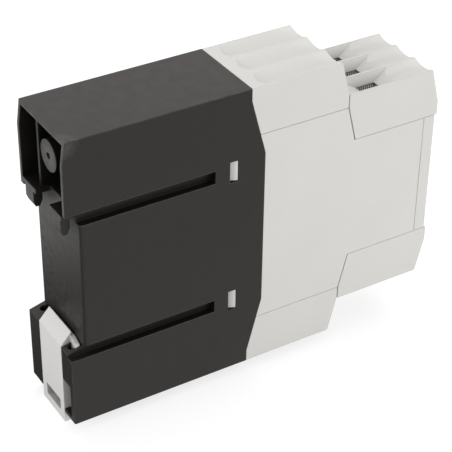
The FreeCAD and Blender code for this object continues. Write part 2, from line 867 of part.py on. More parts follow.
# clamp cages, screws and contact strips, one of each for every pole
cage_top = chamber_top - s.moving_clearance
board_front_half = tier_two_seam - s.wall - s.board_edge_gap
board_near_face = -s.board_face - s.board_thickness
for name, side in SIDES:
    for pole in POLES:
        number = pole + 2
        axis_x = s.pole_pitch * pole
        screw_z = s.screw_level * side
        cage_z = mirrored((s.cage_bottom, cage_top), side)
        label = "%s_clamp_cage_%d" % (name, number)
        cage_x = (axis_x - cage_half, axis_x + cage_half)
        frame = block(label + "_frame", cage_x, (cage_start, cage_end), cage_z)
        opening_z = mirrored((s.cage_bottom - OVERLAP, cage_top + OVERLAP), side)
        opening_depth = (wire_start, nut_start)
        opening_x = (axis_x - cage_inner, axis_x + cage_inner)
        opening = block(label + "_opening", opening_x, opening_depth, opening_z)
        thread_depth = (nut_start - OVERLAP, cage_end + OVERLAP)
        thread = rod(label + "_thread", screw_hole, axis_x, thread_depth, screw_z)
        keep(cut(label, frame, [opening, thread]))

        label = "%s_terminal_screw_%d" % (name, number)
        head_start = seat_depth + s.fit
        shank_start = strip_end + s.moving_clearance
        shank = rod(label + "_shank", screw_radius, axis_x, (shank_start, head_start + OVERLAP), screw_z)
        head = rod(label + "_head", head_radius, axis_x, (head_start, head_start + s.head_height), screw_z)
        slot_depth = (head_start + s.head_height - s.screw_slot_depth, head_start + s.head_height + OVERLAP)
        slot_x = (axis_x - s.screw_slot_width / 2, axis_x + s.screw_slot_width / 2)
        slot_z = (screw_z - head_radius - OVERLAP, screw_z + head_radius + OVERLAP)
        slot = block(label + "_slot", slot_x, slot_depth, slot_z)
        keep(cut(label, fuse(label + "_turned", [shank, head]), [slot]))

        label = "%s_contact_strip_%d" % (name, number)
        strip_x = (axis_x - strip_half, axis_x + strip_half)
        if pole == 0:
            leg_z = mirrored((board_front_half, cage_top), side)
            keep(block(label, strip_x, strip_depth, leg_z))
        else:
            leg_z = mirrored((s.strip_side_end, cage_top), side)
            leg = block(label + "_leg", strip_x, strip_depth, leg_z)
            face = board_near_face if pole < 0 else -s.board_face
            tail_z = mirrored((s.strip_side_end, s.strip_side_end + s.strip_tail_height), side)
            tail = block(label + "_tail", (face, axis_x), strip_depth, tail_z)
            keep(fuse(label, [leg, tail]))

# front panel with a collar that plugs into the shell
panel = Moulding("front_panel")
panel_face = rectangle((-half, half), (-tier_two_seam, tier_two_seam))
panel.pad("front", panel_face, (panel_seam + s.seam, panel_depth))
collar_half_x = inner_half - s.fit
collar_half_z = tier_two_seam - s.wall - s.fit
collar_outline = rectangle((-collar_half_x, collar_half_x), (-collar_half_z, collar_half_z))
panel.pad("front", collar_outline, (panel_seam - s.collar_length, panel_seam + s.seam + OVERLAP))
hollow_x = collar_half_x - s.collar_wall
hollow_z = collar_half_z - s.collar_wall
panel_back = panel_depth - s.panel_plate
hollow_outline = rectangle((-hollow_x, hollow_x), (-hollow_z, hollow_z))
panel.pocket("front", hollow_outline, (panel_seam - s.collar_length - OVERLAP, panel_back))
plate_span = (panel_back - OVERLAP, panel_depth + OVERLAP)
knob_hole = s.knob_diameter / 2 + s.moving_clearance
pipe_radius = s.pipe_diameter / 2
pipe_level = tier_two_seam - s.pipe_drop
pipe_spacing = hollow_x - pipe_radius - s.pipe_side_gap
range_level = pipe_level - pipe_radius - s.pipe_gap - knob_hole
time_level = range_level - knob_hole * 2 - s.knob_web
for level in (time_level, range_level):
    panel.pocket("front", (0, level, knob_hole), plate_span)
for pole in POLES:
    pipe_x = pipe_spacing * pole
    panel.pocket("front", (pipe_x, pipe_level, pipe_radius + s.pipe_fit), plate_span)
keep(panel)

# rail latch: roof-shaped nose with a ledge for the rail's lower lip, wings in the undercut,
# screwdriver slot below
latch = Moulding("din_latch")
latch_half = channel_half - s.latch_play
latch_outline = [
    (-s.foot_reach, -latch_bottom),
    (-s.foot_reach, -s.latch_shoulder),
    (-s.latch_apex_reach, -s.latch_apex),
    (-s.latch_apex_reach, -s.latch_ledge),
    (-s.latch_play, -s.latch_ledge),
    (-s.latch_play, -latch_wing_bottom),
    (-s.undercut_depth, -latch_wing_bottom),
    (-s.undercut_depth, -latch_bottom),
]
latch.pad("side", latch_outline, (-latch_half, latch_half))
far_wing = s.far_undercut - s.latch_play
near_wing = s.near_undercut - s.latch_play
wing_outline = [
    (-near_wing, -latch_wing_bottom),
    (far_wing, -latch_wing_bottom),
    (far_wing, -s.latch_wing_top),
    (-latch_half, -s.latch_wing_top),
    (-latch_half, -s.latch_ledge),
    (-near_wing, -s.latch_lip_tip),
]
latch.pad("front", wing_outline, (-s.undercut_depth + s.latch_play, -s.latch_play))
spring_window_half = s.spring_window_width / 2
spring_window = rectangle(
    (-spring_window_half, spring_window_half),
    (-spring_window_bottom, -s.spring_top),
)
latch.pocket("front", spring_window, (-s.undercut_depth, -s.latch_play + OVERLAP))
slot_half = s.latch_slot_width / 2
driver_slot = rectangle((-slot_half, slot_half), (-latch_slot_low, -latch_slot_top))
latch.pocket("front", driver_slot, (-s.foot_reach - OVERLAP, OVERLAP))
keep(latch)

# latch spring: a flat meander between the stop rib and the top of the window
spring_half = spring_window_half - s.moving_clearance
spring_depth = (-s.undercut_depth + s.moving_clearance, -s.moving_clearance)
spring_low = -stop_level
spring_high = -s.spring_top - s.spring_rest_gap
bar_pitch = (spring_high - spring_low - s.spring_strip) / (SPRING_BARS - 1)
spring_parts = []
for number in range(SPRING_BARS):
    bar_low = spring_low + bar_pitch * number
    bar_label = "spring_bar_%d" % (number + 1)
    bar_z = (bar_low, bar_low + s.spring_strip)
    spring_parts.append(block(bar_label, (-spring_half, spring_half), spring_depth, bar_z))
    if number + 1 < SPRING_BARS:
        hand = 1 if number % 2 == 0 else -1
        bend_x = mirrored((spring_half - s.spring_strip, spring_half), hand)
        bend_z = (bar_low, bar_low + bar_pitch + s.spring_strip)
        spring_parts.append(block("spring_bend_%d" % (number + 1), bend_x, spring_depth, bend_z))
keep(fuse("latch_spring", spring_parts))

# main board, standing on edge along the middle of the housing
board = Moulding("main_board")
rear_half = inner_top - s.board_margin
middle_half = tier_one_seam - s.wall - s.board_edge_gap * 2
middle_end = tier_one_front - s.wall - s.board_edge_gap * 3
front_start = seam_front - s.wall - s.board_edge_gap * 3
board_end = control_start - s.fit
board_rear_end = s.joint_depth - s.board_joint_gap
upper_edge = [
    (s.board_start, rear_half),
    (board_rear_end, rear_half),
    (board_rear_end, middle_half),
    (middle_end, middle_half),
    (front_start, board_front_half),
    (board_end, board_front_half),
]
board_outline = upper_edge + [(a, -b) for a, b in reversed(upper_edge)]
board.pad("side", board_outline, (board_near_face, -s.board_face))
keep(board)

# parts on the main board
on_board = -s.board_face
relay_x = (on_board, on_board + s.relay_depth)
relay_d = (s.relay_start, s.relay_start + s.relay_length)
relay_z = (s.relay_gap / 2, s.relay_gap / 2 + s.relay_height)
keep(block("star_relay", relay_x, relay_d, relay_z))
keep(block("delta_relay", relay_x, relay_d, mirrored(relay_z, -1)))

reservoir_radius = s.reservoir_diameter / 2
reservoir_middle = s.reservoir_start + reservoir_radius
reservoir_z = (-s.reservoir_half, s.reservoir_half)
can = upright("reservoir_can", reservoir_radius, on_board + reservoir_radius, reservoir_middle, reservoir_z)
saddle_depth = (reservoir_middle - s.saddle_width / 2, reservoir_middle + s.saddle_width / 2)
saddle = block("reservoir_saddle", (on_board, on_board + reservoir_radius), saddle_depth, reservoir_z)
keep(fuse("reservoir_capacitor", [can, saddle]))

film_x = (on_board, on_board + s.film_depth)
film_d = (s.film_start, s.film_start + s.film_length)
keep(block("film_capacitor", film_x, film_d, (-s.film_half, s.film_half)))

varistor_radius = s.varistor_diameter / 2
varistor_level = middle_half - s.varistor_margin - varistor_radius
varistor_x = on_board + s.varistor_standoff + varistor_radius
varistor_d = (s.varistor_start, s.varistor_start + s.varistor_thickness)
disc = rod("varistor_disc", varistor_radius, varistor_x, varistor_d, varistor_level)
varistor_middle = s.varistor_start + s.varistor_thickness / 2
lead_depth = (varistor_middle - s.varistor_lead / 2, varistor_middle + s.varistor_lead / 2)
leads = [disc]
for hand in (-1, 1):
    lead_z = varistor_level + varistor_radius / 2 * hand
    lead_span = (lead_z - s.varistor_lead / 2, lead_z + s.varistor_lead / 2)
    leads.append(block("varistor_lead_%d" % (hand + 2), (on_board, varistor_x), lead_depth, lead_span))
keep(fuse("varistor", leads))

chip_x = (board_near_face - s.chip_thickness, board_near_face)
chip_d = (s.chip_start, s.chip_start + s.chip_length)
keep(block("timing_chip", chip_x, chip_d, (-s.chip_half, s.chip_half)))

# control board behind the front panel, and the header that joins the boards
control_half_x = inner_half - s.control_margin
control_half_z = tier_two_seam - s.wall - s.control_margin
control_end = control_start + s.control_thickness
control_d = (control_start, control_end)
control_x = (-control_half_x, control_half_x)
keep(block("control_board", control_x, control_d, (-control_half_z, control_half_z)))
header_x = (on_board, on_board + s.header_width)
header_d = (control_start - s.header_length, control_start)
keep(block("board_header", header_x, header_d, (-s.header_half, s.header_half)))

# time setting and range switch with their knobs
shaft_end = control_end + s.knob_shaft_gap
bore_end = shaft_end - s.moving_clearance
knob_end = panel_depth + s.knob_proud
knob_start = knob_end - s.knob_length
for dial, knob, level in (
    ("time_potentiometer", "time_knob", time_level),
    ("range_switch", "range_knob", range_level),
):
    dial_half = s.dial_body / 2
    dial_front = control_end + s.dial_body_depth
    dial_z = (level - dial_half, level + dial_half)
    dial_box = block(dial + "_box", (-dial_half, dial_half), (control_end, dial_front), dial_z)
    bore_radius = s.knob_shaft / 2 + s.running_clearance
    bore = rod(dial + "_bore", bore_radius, 0, (bore_end, dial_front + OVERLAP), level)
    keep(cut(dial, dial_box, [bore]))
    knob_radius = s.knob_diameter / 2
    cap = rod(knob + "_cap", knob_radius, 0, (knob_start, knob_end), level)
    shaft = rod(knob + "_shaft", s.knob_shaft / 2, 0, (shaft_end, knob_start + OVERLAP), level)
    slot_x = (-s.knob_slot_width / 2, s.knob_slot_width / 2)
    slot_z = (level - knob_radius / 2, level + knob_radius + OVERLAP)
    pointer = block(knob + "_slot", slot_x, (knob_end - s.knob_slot_depth, knob_end + OVERLAP), slot_z)
    keep(cut(knob, fuse(knob + "_turned", [cap, shaft]), [pointer]))

# indicator lamps and the light pipes that carry them to the panel
lamp_half = s.lamp_size / 2
lamp_end = control_end + s.lamp_height
bar_x = pipe_spacing + lamp_half + s.lamp_bar_margin
lamp_z = (pipe_level - lamp_half, pipe_level + lamp_half)
lamps = [block("lamp_bar", (-bar_x, bar_x), (control_end, control_end + s.lamp_bar_height), lamp_z)]
for pole in POLES:
    pipe_x = pipe_spacing * pole
    number = pole + 2
    lamp_x = (pipe_x - lamp_half, pipe_x + lamp_half)
    lamps.append(block("lamp_%d" % number, lamp_x, (control_end, lamp_end), lamp_z))
    pipe_depth = (lamp_end, panel_depth + s.pipe_proud)
    keep(rod("light_pipe_%d" % number, pipe_radius, pipe_x, pipe_depth, pipe_level))
keep(fuse("indicator_leds", lamps))

doc.recompute()
for item in doc.Objects:
    if "Invalid" in item.State or "Error" in item.State:
        raise ValueError("%s did not build" % item.Label)
os.makedirs("parts", exist_ok=True)
for node in nodes:
    shape = node.Shape
    if shape.isNull() or not shape.isValid() or len(shape.Solids) != 1:
        raise ValueError("%s is not one sound solid" % node.Label)
    shape.exportStep("parts/%s.step" % node.Label)
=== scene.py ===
import json
import math

import bmesh
import bpy
from mathutils import Matrix, Vector


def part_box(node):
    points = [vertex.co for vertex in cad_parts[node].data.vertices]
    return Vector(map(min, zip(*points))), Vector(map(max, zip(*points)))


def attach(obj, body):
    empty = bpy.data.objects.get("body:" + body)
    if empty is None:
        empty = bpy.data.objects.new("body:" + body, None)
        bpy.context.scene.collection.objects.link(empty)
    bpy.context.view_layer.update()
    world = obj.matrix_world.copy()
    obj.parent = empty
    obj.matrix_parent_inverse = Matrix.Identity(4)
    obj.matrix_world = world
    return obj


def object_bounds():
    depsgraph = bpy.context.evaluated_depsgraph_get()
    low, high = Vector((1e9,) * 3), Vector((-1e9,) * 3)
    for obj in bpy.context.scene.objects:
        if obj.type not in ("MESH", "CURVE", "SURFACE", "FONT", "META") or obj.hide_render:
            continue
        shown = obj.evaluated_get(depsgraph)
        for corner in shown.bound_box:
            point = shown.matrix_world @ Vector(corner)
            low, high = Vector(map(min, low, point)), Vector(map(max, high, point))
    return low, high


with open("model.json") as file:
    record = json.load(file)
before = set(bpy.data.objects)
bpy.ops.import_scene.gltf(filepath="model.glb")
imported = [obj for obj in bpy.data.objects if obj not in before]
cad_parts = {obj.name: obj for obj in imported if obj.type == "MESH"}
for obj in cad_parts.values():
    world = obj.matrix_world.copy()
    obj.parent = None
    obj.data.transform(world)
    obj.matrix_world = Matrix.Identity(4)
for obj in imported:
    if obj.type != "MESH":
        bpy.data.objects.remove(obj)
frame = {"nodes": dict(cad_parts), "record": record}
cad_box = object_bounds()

MM = 0.001
NODES = frame["nodes"]
SLOT_OF = {part["node"]: part["material_slot"] for part in frame["record"]["subparts"]}

# viewpoint of the photograph, which is 452 pixels wide
PHOTO_PIXELS = 452
FOCAL_PIXELS = 1568.31
SENSOR_WIDTH = 36.0
CAMERA_AZIMUTH = 238.187
CAMERA_ELEVATION = 33.943
CAMERA_ROLL = 0.802
CAMERA_DISTANCE = 383.3 * MM
CAMERA_TARGET = Vector((0.0, -46.91, 0.0)) * MM
CAMERA_RIGHT_OFFSET = 1.829 * MM
CAMERA_UP_OFFSET = 4.600 * MM
CLIP_START = 0.01
CLIP_END = 20.0

# limits between which a noise is stretched into clouds, blotches or sparse specks
CLOUDY = (0.3, 0.7)
BLOTCHY = (0.35, 0.65)
SPARSE = (0.74, 0.80)
# cosine of the turn of the softened normal where an edge begins and where it is full
EDGE_TURN = (0.98, 0.80)
EDGE_SAMPLES = 4
OPENNESS_SAMPLES = 8
# radians that a wave texture of scale 1 runs through in one unit of length
WAVE_RADIANS = 20

# paler middle on the end of the round boss in the rear pocket: height of its axis, radius, end and depth
# of the paler part
BOSS_LEVEL = 29.6 * MM
BOSS_RADIUS = 3.2 * MM
BOSS_CORE = 0.6 * BOSS_RADIUS
BOSS_END = 1.2 * MM
BOSS_PALE_DEPTH = 0.2 * MM
BOSS_BLOTCH = 1.1 * MM
BOSS_PALE = 0.30

# upper rear corner on the near side, pale from the core out to the reach: part wear, part painted
# highlight
WORN_AND_HIGHLIT_CORNER = (cad_box[0].x, cad_box[1].y, cad_box[1].z)
CORNER_CORE = 0.5 * MM
CORNER_REACH = 5.0 * MM
CORNER_BLOTCH = 1.6 * MM
CORNER_CONTRAST = (0.35, 0.6)
CORNER_LEAST = 0.3
CORNER_PALE = 0.40

# flat rail seat on the plane y = 0: half width and half height of its worn part, and where that fades out
SEAT_MARGIN = 0.25 * MM
SEAT_HALF = cad_box[1].x - SEAT_MARGIN
SEAT_REACH = 15.0 * MM
SEAT_FADE = 1.0 * MM
SEAT_SKIN = (0.2 * MM, 0.3 * MM)
# the wear lies below a slanting line across the seat
WEAR_SLANT = 0.6
WEAR_LINE = (-6 * MM, 2 * MM)
WEAR_LEAST = 0.1
SPECK_SIZE = 0.9 * MM
SPECK_CONTRAST = (0.60, 0.65)
SPECK_PALE = 0.5
PIT_SIZE = 1.4 * MM
PIT_CONTRAST = (0.56, 0.62)
# how ragged the specks and pits are
RAGGED = 0.65
# depth of a pit as a multiple of the moulded grain, and the gloss left in it
PIT_DEPTH = 8.0
PIT_GLOSS = 0.35

# marks on moulded plastic, and its paler edges, part wear and part painted highlight
FLOW_SIZE = 14 * MM
WEAR_AND_HIGHLIGHT_SIZE = 2.2 * MM
WEAR_AND_HIGHLIGHT_OPENNESS = (0.75, 0.95)
DUST_SIZE = 0.55 * MM
GRAIN_SIZE = 0.16 * MM
GRAIN_DEPTH = 0.03 * MM
SHINE_SIZE = 3.0 * MM
SHINE_SPREAD = 0.05
FULL_GLOSS = 0.5

# marks on plated metal, and painted shade in the valleys between its gripping ridges
PLATING_SIZE = 1.6 * MM
DULL_PLATING = 0.85
STREAK_SIZE = 0.35 * MM
STREAK_STRETCH = (1.0, 1.0, 0.12)
STREAK_ROUGHNESS = 0.6
STREAK_BUMP = 0.12
STREAK_DEPTH = 0.02 * MM
# roughness taken off in bright streaks and put on in dull ones
BRIGHT_STREAK = 0.08
DULL_STREAK = 0.1
RIDGE_PITCH = 0.62 * MM
RIDGE_BUMP = 0.25
RIDGE_DEPTH = 0.12 * MM
VALLEY_PAINTED_SHADE = 0.10
VALLEY_SLOPE = (0.15, 0.55)

# circuit boards
BOARD_GREEN = (0.030, 0.135, 0.058)
BOARD_SHINE_SIZE = 1.0 * MM
BOARD_ROUGHNESS = (0.28, 0.40)
TRACK_GREEN = (0.018, 0.085, 0.036)
TRACK_SIZE = 2.4 * MM
TRACK_EDGE = (0.30, 0.34)
TRACK_BUMP = 0.15
TRACK_DEPTH = 0.03 * MM

# smooth cases of the parts on the boards
CASE_CLOUD_SIZE = 3.5 * MM
CASE_CLOUD_TONE = 0.8
CASE_SHINE_SIZE = 0.8 * MM
CASE_SHINE_SPREAD = 0.08
CASE_WAVE_SIZE = 1.2 * MM
CASE_WAVE_BUMP = 0.06
CASE_WAVE_DEPTH = 0.05 * MM

# light pipes
PIPE_MILK = ((0.78, 0.80, 0.78), (0.88, 0.90, 0.88))
PIPE_MILK_SIZE = 0.8 * MM
PIPE_SHINE_SIZE = 0.4 * MM
PIPE_ROUGHNESS = (0.08, 0.16)

# rib across the slanted joint between each terminal block and the shell behind it
RIB_PLACE = 3.75 * MM
RIB_WIDTH = 0.8 * MM
RIB_OVERLAP = 0.3 * MM
RIB_HEIGHT = 9.35 * MM
RIB_TOP = 2.0 * MM
JOINT_GAP = 0.25 * MM
JOINT_RUN = 2.4 * MM

# printed scales around the knobs
INK_THICKNESS = 0.03 * MM
MARK_START = 4.95 * MM
MARK_LENGTH = 0.55 * MM
MARK_WIDTH = 0.18 * MM
NUMERAL_HEIGHT = 1.5 * MM
# size of the lettering for one unit of numeral height
LETTER_SCALE = 1.4
NUMERAL_RADIUS = 6.9 * MM
SCALE_INK = (0.030, 0.031, 0.033)
THIN_INK_SIZE = 0.25 * MM
THIN_INK_TONE = 1.6
# angles of the marks, clockwise from straight up as seen from the front
DIAL_MARKS = {
    "time_knob": tuple(range(-135, 136, 27)),
    "range_knob": tuple(range(-150, 151, 60)),
}
DIAL_NUMERALS = {
    "time_knob": {-135: "0", -81: "2", 81: "8", 135: "10"},
    "range_knob": {-130: "1", -90: "3", -30: "10", 30: "30", 90: "60", 130: "90"},
}

# clean-up of the facets before the edges are rounded
WELD_DISTANCE = 0.001 * MM
FLAT_ANGLE = math.radians(0.5)
SHARP_ANGLE = math.radians(28)
EDGE_SEGMENTS = 2
FLAT_WEIGHT = 90
# edge rounding for each material slot
EDGE_ROUND = {
    "black_plastic": 0.22 * MM,
    "grey_plastic": 0.22 * MM,
    "latch_plastic": 0.25 * MM,
    "plated_steel": 0.10 * MM,
    "screw_steel": 0.12 * MM,
    "tinned_copper": 0.08 * MM,
    "relay_case": 0.25 * MM,
    "film_case": 0.25 * MM,
    "dial_case": 0.15 * MM,
    "knob_plastic": 0.25 * MM,
    "light_pipe": 0.12 * MM,
    "chip_case": 0.10 * MM,
}

# painted reflection: how bright glossy surfaces see the floor, dim near the object as if in its shadow,
# by distance in metres towards the far rear
PAINTED_FLOOR_REFLECTION = (
    (-0.010, 0.60),
    (0.006, 0.06),
    (0.030, 0.10),
    (0.055, 0.12),
    (0.070, 0.55),
    (0.083, 0.95),
    (0.092, 1.10),
    (0.105, 0.95),
    (0.120, 0.85),
)
# direction of the far rear along X and Y
FAR_REAR = (0.85, 0.53)
FLOOR_SIZE = 6.0
FLOOR_CLOUD_SIZE = 0.5
# tones of the floor as light on the object, as the eye sees it, and its glow to the eye
FLOOR_TONES = ((0.62, 0.62, 0.62), (0.63, 0.63, 0.63))
FLOOR_SEEN = (0.36, 0.36, 0.36)
FLOOR_GLOW = (0.72, 0.72, 0.72)
BLACK = (0.0, 0.0, 0.0)
# strength of the studio as light and as seen, and its colour in glossy surfaces
SKY_LIGHT = 0.55
SKY_SEEN = 1.1
SKY_REFLECTION = (0.97, 0.915, 0.935)
# lamps: place from the middle of the object, size and power
LAMPS = {
    "key_light": ((0.30, -0.25, 0.75), 0.8, 3.7),
    "side_light": ((-0.75, -0.55, 0.12), 0.5, 5.6),
    "rear_light": ((-0.10, 0.75, 0.25), 0.6, 3.4),
}


class Shader:
    """A material whose nodes are added one after another."""

    def __init__(self, name):
        self.material = bpy.data.materials.new(name)
        self.material.use_nodes = True
        self.nodes = self.material.node_tree.nodes
        self.links = self.material.node_tree.links
        self.surface = self.nodes["Principled BSDF"]
        coordinates = self.nodes.new("ShaderNodeTexCoord")
        self.place = coordinates.outputs["Object"]

    def set(self, **values):
        """Gives inputs of the surface one value all over, with an underscore for each space in a name."""
        for name, value in values.items():
            self.surface.inputs[name.replace("_", " ")].default_value = value

    def connect(self, output, name):
        self.links.new(output, self.surface.inputs[name])

    def noise(self, size, detail=2.0, roughness=0.5, stretch=None):
        """Cloudy values with features of about the given size in metres."""
        node = self.nodes.new("ShaderNodeTexNoise")
        node.inputs["Scale"].default_value = 1.0 / size
        node.inputs["Detail"].default_value = detail
        node.inputs["Roughness"].default_value = roughness
        place = self.place
        if stretch is not None:
            mapping = self.nodes.new("ShaderNodeMapping")
            mapping.inputs["Scale"].default_value = stretch
            self.links.new(place, mapping.inputs["Vector"])
            place = mapping.outputs["Vector"]
        self.links.new(place, node.inputs["Vector"])
        return node.outputs["Fac"]

    def cells(self, size):
        """Distance from the middle of the nearest cell, for cells of about the given size."""
        node = self.nodes.new("ShaderNodeTexVoronoi")
        node.inputs["Scale"].default_value = 1.0 / size
        self.links.new(self.place, node.inputs["Vector"])
        return node.outputs["Distance"]

    def remap(self, value, between, to=(0.0, 1.0)):
        """Runs from to[0] to to[1] as the value runs between its two limits, and stays level outside."""
        node = self.nodes.new("ShaderNodeMapRange")
        node.clamp = True
        node.inputs["From Min"].default_value = between[0]
        node.inputs["From Max"].default_value = between[1]
        node.inputs["To Min"].default_value = to[0]
        node.inputs["To Max"].default_value = to[1]
        self.links.new(value, node.inputs["Value"])
        return node.outputs["Result"]

    def patches(self, size, detail=2.0, roughness=0.5, between=CLOUDY, to=(0.0, 1.0)):
        """Noise with its contrast stretched, from to[0] to to[1]."""
        return self.remap(self.noise(size, detail, roughness), between, to)

    def math(self, operation, first, second=0.0):
        """One sum, of which either side is a number or the output of a node."""
        node = self.nodes.new("ShaderNodeMath")
        node.operation = operation
        for socket, value in zip(node.inputs, (first, second)):
            if isinstance(value, (int, float)):
                socket.default_value = value
            else:
                self.links.new(value, socket)
        return node.outputs["Value"]

    def mix(self, amount, first, second):
        """The first colour where the amount is 0 and the second where it is 1."""
        node = self.nodes.new("ShaderNodeMix")
        node.data_type = "RGBA"
        inputs = [socket for socket in node.inputs if socket.type == "RGBA"]
        self.links.new(amount, node.inputs["Factor"])
        for socket, value in zip(inputs, (first, second)):
            if isinstance(value, tuple):
                socket.default_value = (*value, 1.0)
            else:
                self.links.new(value, socket)
        return [socket for socket in node.outputs if socket.type == "RGBA"][0]

    def axes(self):
        node = self.nodes.new("ShaderNodeSeparateXYZ")
        self.links.new(self.place, node.inputs["Vector"])
        return node.outputs["X"], node.outputs["Y"], node.outputs["Z"]

    def ridges(self, direction, pitch):
        """Even ridges that follow one another along the named axis."""
        node = self.nodes.new("ShaderNodeTexWave")
        node.bands_direction = direction
        node.inputs["Scale"].default_value = 2 * math.pi / (WAVE_RADIANS * pitch)
        self.links.new(self.place, node.inputs["Vector"])
        return node.outputs["Fac"]

    def product(self, *values):
        total = values[0]
        for value in values[1:]:
            total = self.math("MULTIPLY", total, value)
        return total

    def sum_of_squares(self, *values):
        total = self.product(values[0], values[0])
        for value in values[1:]:
            total = self.math("ADD", total, self.product(value, value))
        return total

    def soft_normal(self, radius):
        """The normal as it would be with all edges rounded by the radius."""
        node = self.nodes.new("ShaderNodeBevel")
        node.samples = EDGE_SAMPLES
        node.inputs["Radius"].default_value = radius
        return node.outputs["Normal"]

    def edges(self, normal):
        """1 where the soft normal turns away from the face, 0 on flat stretches."""
        geometry = self.nodes.new("ShaderNodeNewGeometry")
        dot = self.nodes.new("ShaderNodeVectorMath")
        dot.operation = "DOT_PRODUCT"
        self.links.new(normal, dot.inputs[0])
        self.links.new(geometry.outputs["Normal"], dot.inputs[1])
        return self.remap(dot.outputs["Value"], EDGE_TURN)

    def openness(self, reach):
        """1 on open faces, falling towards 0 deep inside recesses."""
        node = self.nodes.new("ShaderNodeAmbientOcclusion")
        node.samples = OPENNESS_SAMPLES
        node.only_local = True
        node.inputs["Distance"].default_value = reach
        return node.outputs["AO"]

    def bump(self, height, strength, distance, normal=None):
        node = self.nodes.new("ShaderNodeBump")
        node.inputs["Strength"].default_value = strength
        node.inputs["Distance"].default_value = distance
        self.links.new(height, node.inputs["Height"])
        if normal is not None:
            self.links.new(normal, node.inputs["Normal"])
        self.connect(node.outputs["Normal"], "Normal")


def scaled(colour, factor):
    return tuple(channel * factor for channel in colour)


def moulded(
    name, colour, lighter, roughness, grain, dust, rounding, shade, recess, reach,
    flow=0.93, edge_wear_and_highlight=(0.10, 0.55), scuffs_and_highlight=None,
):
    """Spark-eroded moulded plastic: fine grain, faint flow clouds, paler edges that are part wear and
    part painted highlight, dust, and painted shade in recesses, in colour and gloss.

    A place counts as a recess from the openness recess[1] down to recess[0], judged as far as reach.
    """
    shader = Shader(name)
    clouds = shader.patches(FLOW_SIZE, detail=3.0)
    tone = shader.mix(clouds, scaled(colour, flow), colour)
    soft = shader.soft_normal(rounding)
    openness = shader.openness(reach)
    # paler edges in the open: part wear, part painted highlight
    rubbed_and_highlit = shader.patches(WEAR_AND_HIGHLIGHT_SIZE, detail=4.0, between=BLOTCHY, to=edge_wear_and_highlight)
    worn_and_highlit_edges = shader.product(shader.edges(soft), rubbed_and_highlit, shader.remap(openness, WEAR_AND_HIGHLIGHT_OPENNESS))
    tone = shader.mix(worn_and_highlit_edges, tone, lighter)
    specks = shader.patches(DUST_SIZE, detail=1.0, between=SPARSE, to=(0.0, dust))
    tone = shader.mix(specks, tone, lighter)
    surface = shader.noise(GRAIN_SIZE)
    # painted shade: the gloss is dimmed in recesses, down to shade times full gloss deep inside
    gloss_and_recess_shade = shader.remap(openness, recess, (shade * FULL_GLOSS, FULL_GLOSS))
    if scuffs_and_highlight is not None:
        pale, pits = scuffs_and_highlight(shader)
        tone = shader.mix(pale, tone, lighter)
        surface = shader.math("SUBTRACT", surface, shader.product(pits, PIT_DEPTH))
        gloss_and_recess_shade = shader.product(gloss_and_recess_shade, shader.remap(pits, (0.0, 1.0), (1.0, PIT_GLOSS)))
    # painted shade: the colour darkens towards shade times the colour deep in recesses
    shader.connect(shader.mix(shader.remap(openness, recess), scaled(colour, shade), tone), "Base Color")
    shader.connect(gloss_and_recess_shade, "Specular IOR Level")
    shine = (roughness - SHINE_SPREAD, roughness + SHINE_SPREAD)
    shader.connect(shader.patches(SHINE_SIZE, detail=4.0, to=shine), "Roughness")
    shader.bump(surface, grain, GRAIN_DEPTH, soft)
    return shader.material


def pale_boss_end(shader, x, y, z):
    """Pale blotches on the end of the round boss."""
    from_axis = shader.sum_of_squares(x, shader.math("SUBTRACT", z, BOSS_LEVEL))
    near_axis = shader.remap(from_axis, (BOSS_CORE ** 2, BOSS_RADIUS ** 2), (1.0, 0.0))
    on_end = shader.remap(y, (BOSS_END - BOSS_PALE_DEPTH, BOSS_END))
    blotches = shader.patches(BOSS_BLOTCH, detail=3.0, between=BLOTCHY, to=(0.0, BOSS_PALE))
    return shader.product(near_axis, on_end, blotches)


def corner_wear_and_highlight(shader, place):
    """Pale blotches round the upper rear corner: part wear, part painted highlight."""
    offsets = [shader.math("SUBTRACT", axis, corner) for axis, corner in zip(place, WORN_AND_HIGHLIT_CORNER)]
    reach = (CORNER_CORE ** 2, CORNER_REACH ** 2)
    near_corner = shader.remap(shader.sum_of_squares(*offsets), reach, (CORNER_PALE, 0.0))
    depth = (CORNER_LEAST, 1.0)
    blotches = shader.patches(CORNER_BLOTCH, detail=4.0, between=CORNER_CONTRAST, to=depth)
    return shader.product(near_corner, blotches)


def seat_wear(shader, x, y, z):
    """1 on the worn lower end of the flat rail seat, less above it and 0 beside the seat."""
    on_plane = shader.remap(shader.math("ABSOLUTE", y), SEAT_SKIN, (1.0, 0.0))
    across = shader.remap(shader.math("ABSOLUTE", x), (SEAT_HALF - SEAT_FADE, SEAT_HALF), (1.0, 0.0))
    along = shader.remap(shader.math("ABSOLUTE", z), (SEAT_REACH, SEAT_REACH + SEAT_FADE), (1.0, 0.0))
    slant = shader.math("SUBTRACT", z, shader.product(x, WEAR_SLANT))
    return shader.product(on_plane, across, along, shader.remap(slant, WEAR_LINE, (1.0, WEAR_LEAST)))


def rubs_and_painted_highlight(shader):
    """How pale and how pitted the rail seat is rubbed, how pale the end of the boss is, and how pale one
    corner is, part wear and part painted highlight.
    """
    place = shader.axes()
    seat = seat_wear(shader, *place)
    specks = shader.patches(SPECK_SIZE, 4.0, RAGGED, between=SPECK_CONTRAST, to=(0.0, SPECK_PALE))
    pale = shader.math("MAXIMUM", shader.product(seat, specks), pale_boss_end(shader, *place))
    pale = shader.math("MAXIMUM", pale, corner_wear_and_highlight(shader, place))
    pits = shader.patches(PIT_SIZE, 4.0, RAGGED, between=PIT_CONTRAST)
    return pale, shader.product(seat, pits)


